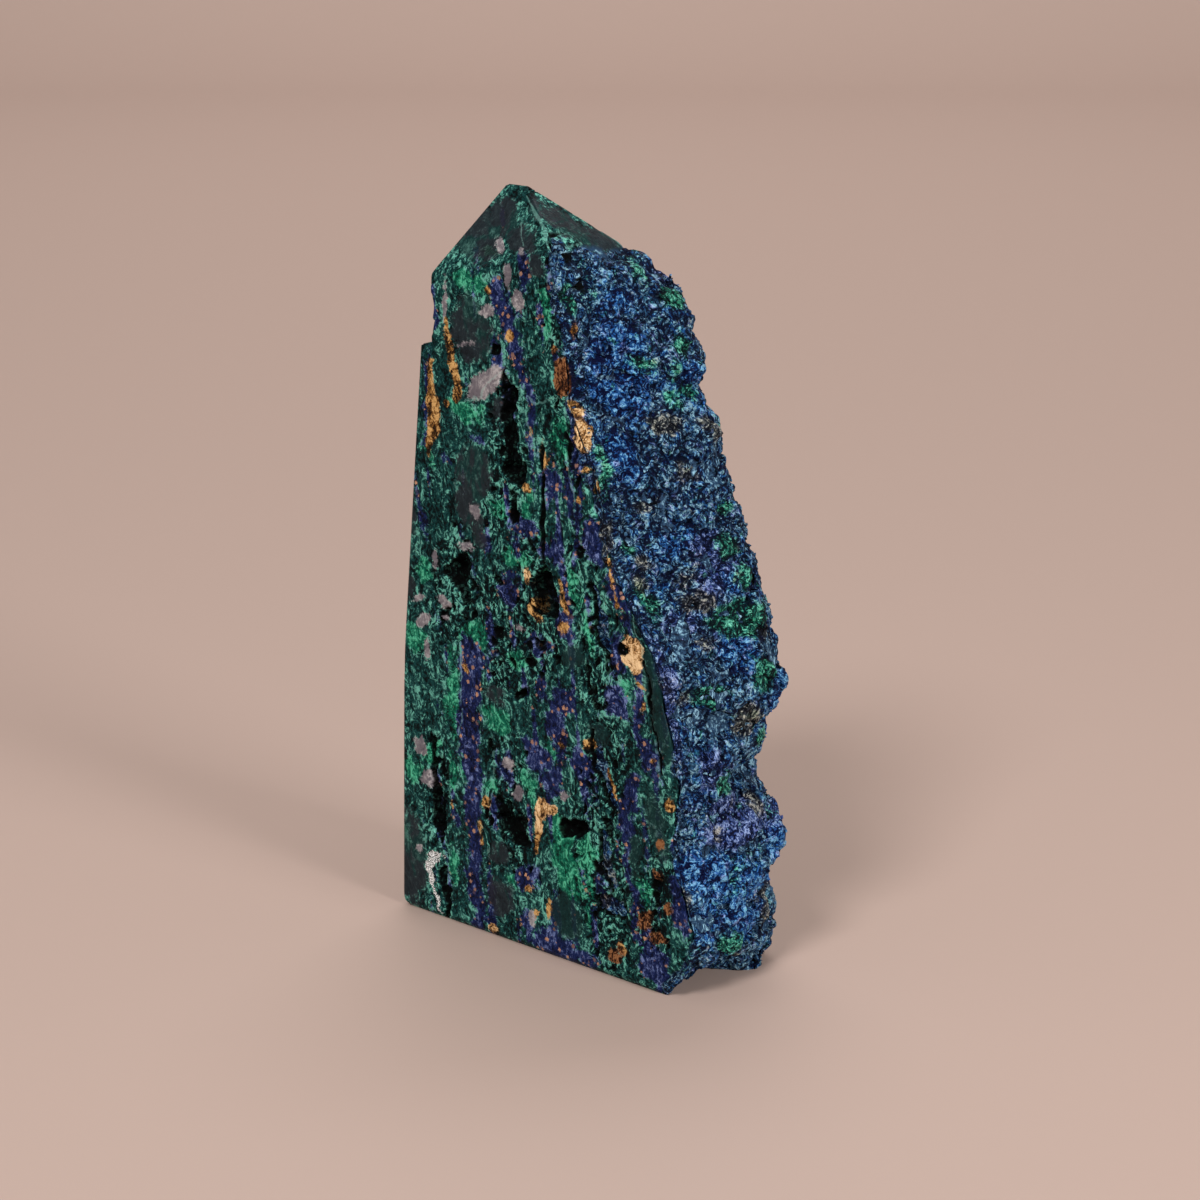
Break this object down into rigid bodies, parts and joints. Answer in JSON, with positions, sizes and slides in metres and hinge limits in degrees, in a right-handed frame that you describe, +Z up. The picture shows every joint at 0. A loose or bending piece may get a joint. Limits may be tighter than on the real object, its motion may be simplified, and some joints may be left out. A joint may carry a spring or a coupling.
{
  "type": "azurite point",
  "caption": "Free-standing mineral point of azurite and malachite ore with ground faces, a faceted tip and one natural crystal-crusted side.",
  "frame": {"origin": "middle of the ground foot, on the plane the stone stands on", "axes": "+Z up through the stone, -Y out of the polished front face, +X towards the natural crust side"},
  "size_m": [0.0635, 0.026, 0.1148],
  "materials": {
    "azurite_ore": "ground faces semi-polished, green malachite and dark matrix banded with blue azurite; natural side granular deep blue azurite druse"
  },
  "bodies": {
    "root": {"azurite_point": "azurite_ore"}
  },
  "joints": []
}
